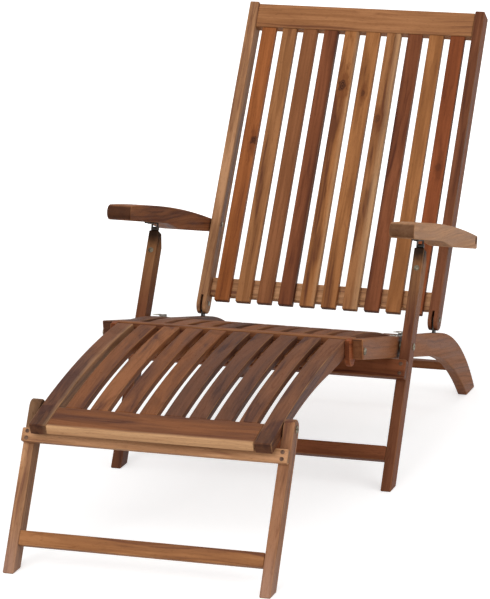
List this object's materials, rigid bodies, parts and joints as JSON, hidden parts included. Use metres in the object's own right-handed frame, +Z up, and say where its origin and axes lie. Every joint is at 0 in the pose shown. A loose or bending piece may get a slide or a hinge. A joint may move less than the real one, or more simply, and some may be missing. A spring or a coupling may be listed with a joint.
{
  "type": "steamer deck chair",
  "caption": "Folding slatted wooden deck chair with a leaning back, arms that fold down with it, and a hinged leg rest on its own folding legs.",
  "frame": {"origin": "middle of the chair's outline, on the floor", "axes": "+Z up, +X to the chair's left as the sitter sees it, -Y the way the sitter looks"},
  "size_m": [0.6, 1.526, 0.7819],
  "materials": {
    "frame_wood": "oiled hardwood, satin",
    "seat_wood": "oiled hardwood, cooler brown, satin",
    "steel_plate": "dull zinc plate",
    "steel_fastener": "satin steel"
  },
  "bodies": {
    "seat_frame": {"seat_rail_left": "seat_wood", "seat_rail_right": "seat_wood", "seat_nosing": "seat_wood", "seat_front_rail": "seat_wood", "seat_rear_rail": "seat_wood", "rear_stretcher": "frame_wood", "seat_slats": "seat_wood", "leg_rest_spacer_left": "seat_wood", "leg_rest_spacer_right": "seat_wood", "catch_plate_left": "steel_plate", "catch_plate_right": "steel_plate", "catch_plate_screws": "steel_fastener", "back_tang_left": "steel_plate", "back_tang_right": "steel_plate"},
    "uprights": {"upright_left": "frame_wood", "upright_right": "frame_wood", "stop_board": "frame_wood", "upright_lower_bar": "frame_wood", "upright_pivot_bolts": "steel_fastener", "upright_pivot_nuts": "steel_fastener", "upright_washers": "steel_fastener", "hinge_lower_leaves": "steel_plate", "hinge_leaf_bolts": "steel_fastener", "stop_board_screws": "steel_fastener"},
    "armrest_left": {"armrest_left": "frame_wood", "hinge_upper_leaf_left": "steel_plate", "hinge_leaf_screws_left": "steel_fastener"},
    "armrest_right": {"armrest_right": "frame_wood", "hinge_upper_leaf_right": "steel_plate", "hinge_leaf_screws_right": "steel_fastener"},
    "back": {"back_stile_left": "frame_wood", "back_stile_right": "frame_wood", "back_top_rail": "frame_wood", "back_bottom_rail": "frame_wood", "back_slat_01": "frame_wood", "back_slat_02": "frame_wood", "back_slat_03": "frame_wood", "back_slat_04": "frame_wood", "back_slat_05": "frame_wood", "back_slat_06": "frame_wood", "back_slat_07": "frame_wood", "back_slat_08": "frame_wood", "back_slat_09": "frame_wood", "back_slat_10": "frame_wood", "back_pivot_pins": "steel_fastener", "armrest_pegs": "steel_fastener"},
    "leg_rest": {"leg_rest_rail_left": "seat_wood", "leg_rest_rail_right": "seat_wood", "leg_rest_front_board": "seat_wood", "leg_rest_rear_board": "seat_wood", "leg_rest_mid_board": "seat_wood", "leg_rest_slats": "seat_wood", "leg_rest_pivot_bolts": "steel_fastener"},
    "leg_rest_legs": {"leg_rest_leg_left": "seat_wood", "leg_rest_leg_right": "seat_wood", "leg_crossbar": "frame_wood", "leg_lower_bar": "frame_wood", "leg_pivot_bolts": "steel_fastener", "leg_washers": "steel_fastener", "leg_crossbar_screws": "steel_fastener"}
  },
  "joints": [
    {"name": "back_fold", "type": "hinge", "parent": "seat_frame", "child": "back", "pos_m": [0, 0.37711, 0.21801], "axis": [1, 0, 0], "range_deg": [0, 88]},
    {"name": "upright_fold", "type": "hinge", "parent": "seat_frame", "child": "uprights", "pos_m": [0, 0.06451, 0.24077], "axis": [1, 0, 0], "range_deg": [0, 78.1]},
    {"name": "armrest_left_fold", "type": "hinge", "parent": "uprights", "child": "armrest_left", "pos_m": [0, 0.14867, 0.41735], "axis": [1, 0, 0], "range_deg": [-75.7, 0]},
    {"name": "armrest_right_fold", "type": "hinge", "parent": "uprights", "child": "armrest_right", "pos_m": [0, 0.14867, 0.41735], "axis": [1, 0, 0], "range_deg": [-75.7, 0]},
    {"name": "leg_rest_swing", "type": "hinge", "parent": "seat_frame", "child": "leg_rest", "pos_m": [0, -0.19589, 0.29345], "axis": [1, 0, 0], "range_deg": [-12, 95]},
    {"name": "leg_rest_legs_fold", "type": "hinge", "parent": "leg_rest", "child": "leg_rest_legs", "pos_m": [0, -0.60689, 0.25499], "axis": [1, 0, 0], "range_deg": [0, 110]}
  ],
  "couplings": [
    {"joint": "upright_fold", "follows": "back_fold", "ratio": 0.8873},
    {"joint": "armrest_left_fold", "follows": "back_fold", "ratio": -0.8598},
    {"joint": "armrest_right_fold", "follows": "back_fold", "ratio": -0.8598}
  ]
}
